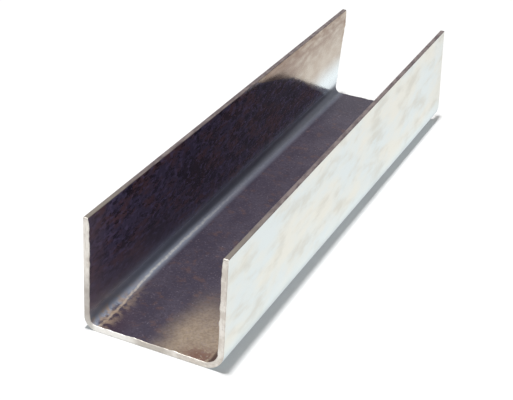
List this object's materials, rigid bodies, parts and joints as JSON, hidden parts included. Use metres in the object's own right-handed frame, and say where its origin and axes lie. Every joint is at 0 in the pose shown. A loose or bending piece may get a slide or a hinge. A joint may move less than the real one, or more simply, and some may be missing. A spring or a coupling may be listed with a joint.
{
  "type": "steel u-track",
  "caption": "Open-topped channel folded from one steel sheet, a length of track that holds a panel edge, roller or post between its flanges.",
  "frame": {"origin": "middle of the web's underside, half way along the track", "axes": "+X across the track, +Y along it, +Z out of the open side"},
  "size_m": [0.073, 0.3048, 0.0603],
  "materials": {
    "mill_steel": "bare mill steel: pale and satin outside, dark oxide inside, bright cut ends"
  },
  "bodies": {
    "root": {"u_track": "mill_steel"}
  },
  "joints": []
}
